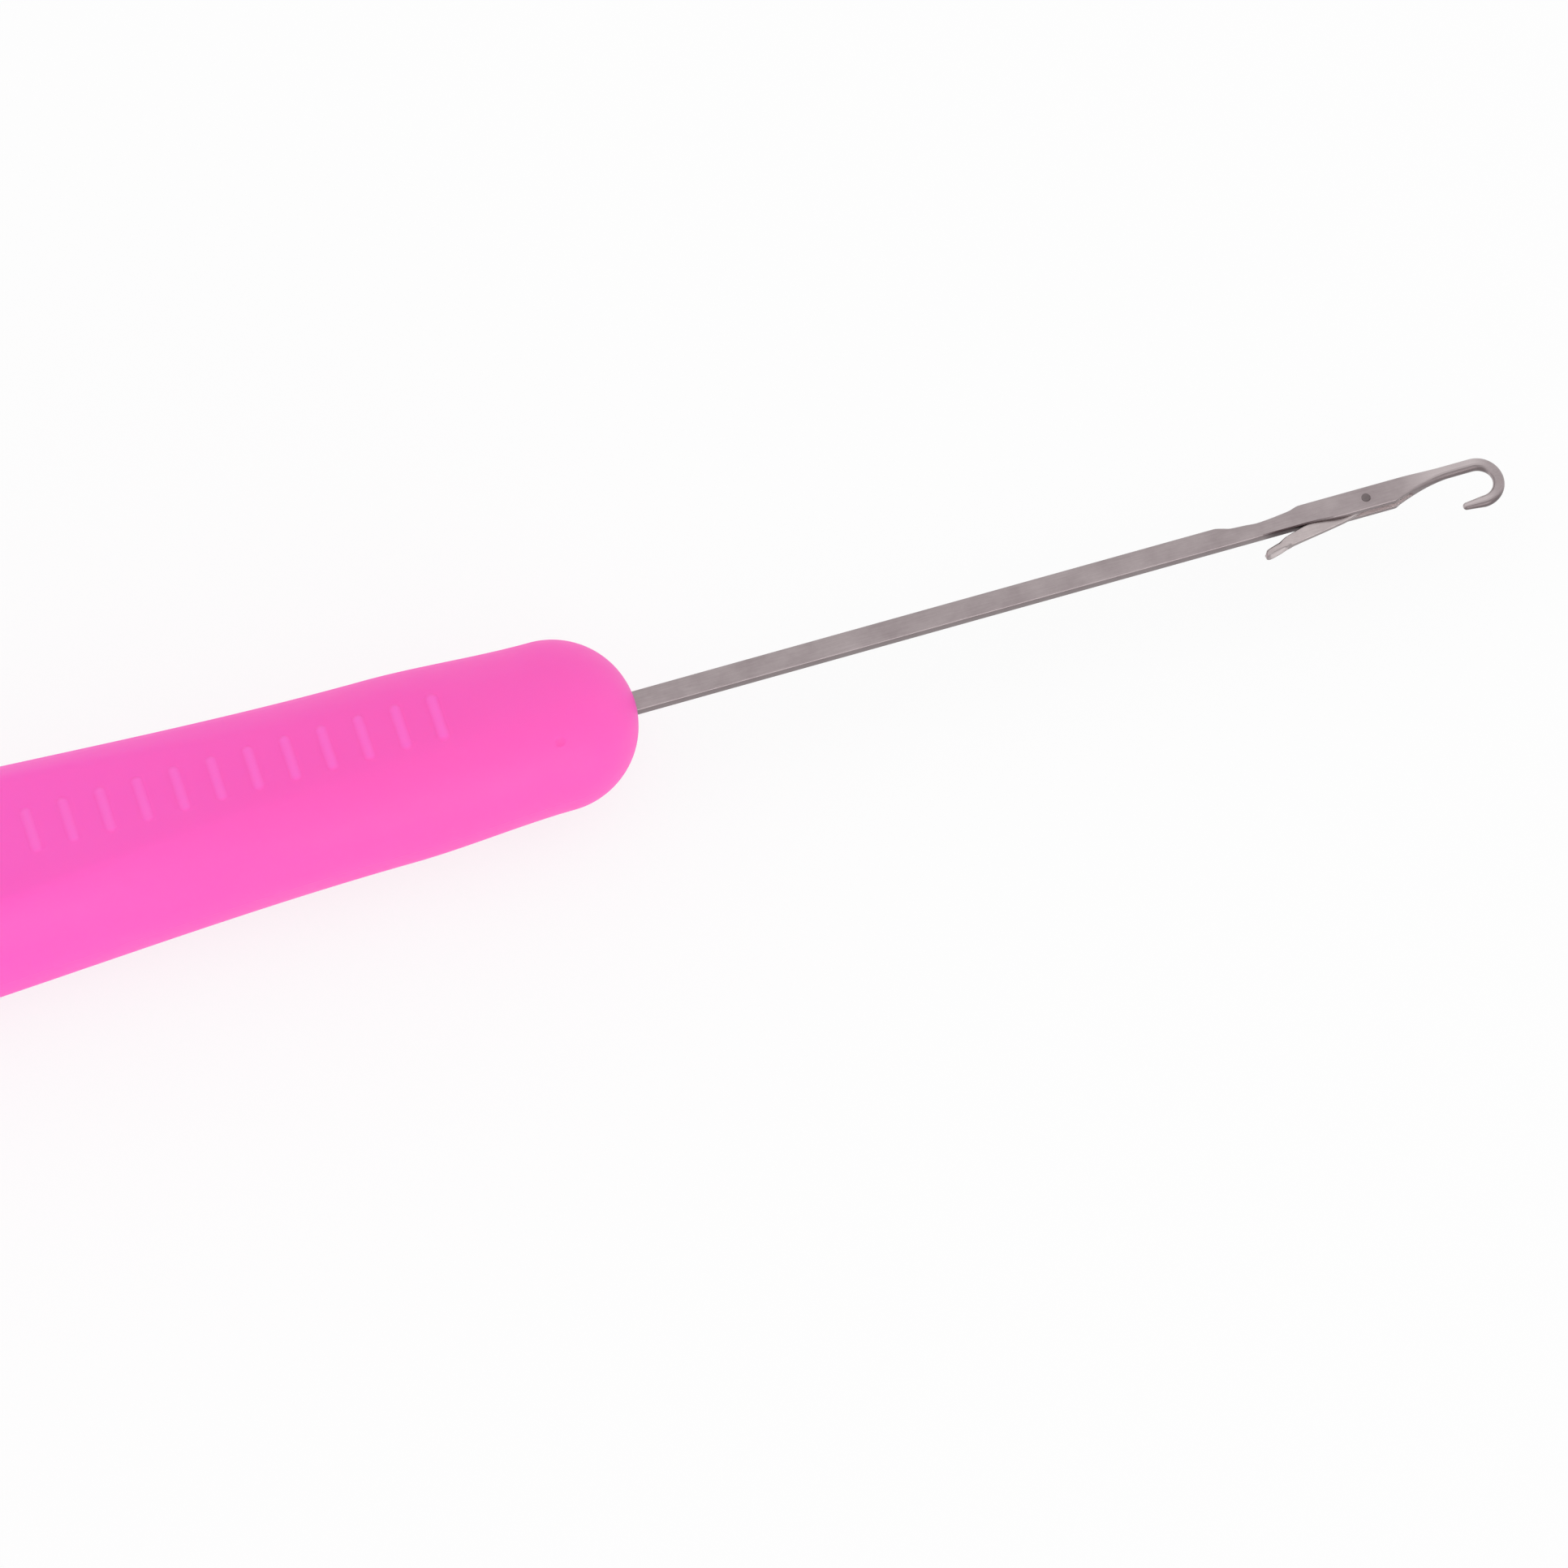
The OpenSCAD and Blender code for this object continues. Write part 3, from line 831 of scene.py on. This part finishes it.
latch_stations = (
    [-HUB_R * math.cos(turn) for turn in stations(0, math.pi / 2, 16)]
    + stations(0, spoon_start - 0.6, 24)
    + stations(spoon_start - 0.6, round_start, 48)
    + [LATCH_LENGTH - SPOON_W / 2 * (1 - math.sin(turn)) for turn in stations(0, math.pi / 2, 20)]
    + [LATCH_LENGTH]
)
latch = loft("latch_tongue", [latch_ring(u) for u in latch_stations])
pivot_r = RIVET_R + RUN_GAP
pivot_hole = turned("pivot_hole", [(pivot_r, -CUT_REACH), (pivot_r, CUT_REACH)], sides=64)
combine(latch, "DIFFERENCE", [pivot_hole])


def blade_edge_shade(middle, normal):
    """Painted shade: most for the blade's edge that folds against the needle, clearing up to the
    spoon, less for its other edge and for the spoon's rim, and 0 elsewhere."""
    along = middle.xy - RIVET
    u, v = along.dot(OPEN_ALONG), along.dot(OPEN_UP)
    if u > spoon_start:
        return EDGE_SHADE * share_of(v, SPOON_RIM - 0.1, SPOON_RIM - 0.02)
    if abs(normal.z) > 0.5:
        return 0.0
    if normal.xy.dot(OPEN_UP) > 0:
        return EDGE_SHADE
    return 1 - share_of(u, spoon_start - EDGE_FADE, spoon_start)


def in_cup(middle, normal):
    """1 inside the spoon's pressed cup, else 0."""
    along = middle.xy - RIVET
    u, v = along.dot(OPEN_ALONG), along.dot(OPEN_UP)
    return float(u > spoon_start and v < SPOON_RIM - 0.03 and normal.xy.dot(OPEN_UP) > 0.2)


mark_faces(latch, "painted_shade", blade_edge_shade)
mark_faces(latch, "painted_light_and_cup", in_cup)
# Its third colour is the painted shade on the blade's edges, its fourth the cup's own paler finish.
latch_steel = plated_steel(
    "burnished_latch_steel", "#A4999A", "#CCC1C0", "#4A3E40", "#B8AFAF", 0.07, 0.26,
)
finish(latch, latch_steel, "latch", "latch_steel", "latch")


# Floor, light and camera

ROOM_LIGHT = 0.97                   # light of the room, where 1 would show each colour as written
FLOOR_GLOW = 0.8                    # share of the floor's white that is its own
FLOOR_HALF_M = 3
FLOOR_THICKNESS_M = 0.01
FLOOR_GAP_M = 0.00002               # keeps the floor just clear of what rests on it


def seen_directly(tree):
    """1 for a ray from the camera, or one that a shiny or clear surface sends on, else 0."""
    rays = add(tree, "ShaderNodeLightPath").outputs
    seen = rays["Is Camera Ray"]
    for kind in ("Is Glossy Ray", "Is Transmission Ray"):
        seen = add(tree, "ShaderNodeMath", {0: seen, 1: rays[kind]}, operation="MAXIMUM")
    return seen


def pale_floor():
    """Smooth white board that fills the view, glows a little like a light table, and keeps the
    tool's soft shadow."""
    material, tree, _ = material_tree("white_board")
    board = add(tree, "ShaderNodeBsdfDiffuse", {"Color": linear("#F8F8F8")})
    glow = add(tree, "ShaderNodeEmission", {"Color": linear("#FFFFFF"), "Strength": 1.0})
    share = add(tree, "ShaderNodeMath", {
        0: seen_directly(tree), 1: FLOOR_GLOW,
    }, operation="MULTIPLY")
    shader = add(tree, "ShaderNodeMixShader", {0: share, 1: board, 2: glow})
    add(tree, "ShaderNodeOutputMaterial", {0: shader})
    return material


def white_room():
    """Even light from all round, and plain white where the camera or a reflection sees past it."""
    world = bpy.data.worlds.new("white_room")
    world.use_nodes = True
    tree = world.node_tree
    tree.nodes.clear()
    strength = add(tree, "ShaderNodeMapRange", {
        "Value": seen_directly(tree), "To Min": ROOM_LIGHT, "To Max": 1.0,
    })
    light = add(tree, "ShaderNodeBackground", {"Color": linear("#FFFFFF"), "Strength": strength})
    add(tree, "ShaderNodeOutputWorld", {0: light})
    return world


floor_corners = [(-1, -1), (1, -1), (1, 1), (-1, 1)]
floor = loft("floor", [
    [Vector((x * FLOOR_HALF_M, y * FLOOR_HALF_M, z)) for x, y in floor_corners]
    for z in (-FLOOR_THICKNESS_M, -FLOOR_GAP_M)
])
floor.data.materials.append(pale_floor())


def soft_lamp(name, place_m, target_m, width, height, power):
    """A soft box that faces the tool."""
    lamp = bpy.data.objects.new(name, bpy.data.lights.new(name, "AREA"))
    lamp.data.shape = "RECTANGLE"
    lamp.data.size = width
    lamp.data.size_y = height
    lamp.data.energy = power
    lamp.location = place_m
    lamp.rotation_euler = (Vector(target_m) - Vector(place_m)).to_track_quat("-Z", "Y").to_euler()
    bpy.context.scene.collection.objects.link(lamp)


soft_lamp("soft_box_front", (0.3, -1.5, 0.25), (0, 0, 0.006), 1.0, 0.35, 3.5)

scene = bpy.context.scene
scene.world = white_room()
scene.view_settings.view_transform = "Standard"

AZIMUTH = math.radians(-17.483)
ELEVATION = math.radians(63)
VIEW_DISTANCE = 700
VIEW_WIDTH = 102.86                 # width of the photograph at the aim
AIM = NOSE + Vector((7.574, -8.656, 0))     # where the middle of the photograph looks

back = Vector((
    math.sin(AZIMUTH) * math.cos(ELEVATION),
    -math.cos(AZIMUTH) * math.cos(ELEVATION),
    math.sin(ELEVATION),
))
camera = bpy.data.objects.new("camera", bpy.data.cameras.new("camera"))
camera.data.sensor_width = 36
camera.data.lens = camera.data.sensor_width * VIEW_DISTANCE / VIEW_WIDTH
camera.data.clip_start = 0.01
camera.data.clip_end = 100
camera.location = (AIM + back * VIEW_DISTANCE) * MM
camera.rotation_euler = (-back).to_track_quat("-Z", "Y").to_euler()
scene.collection.objects.link(camera)
scene.camera = camera
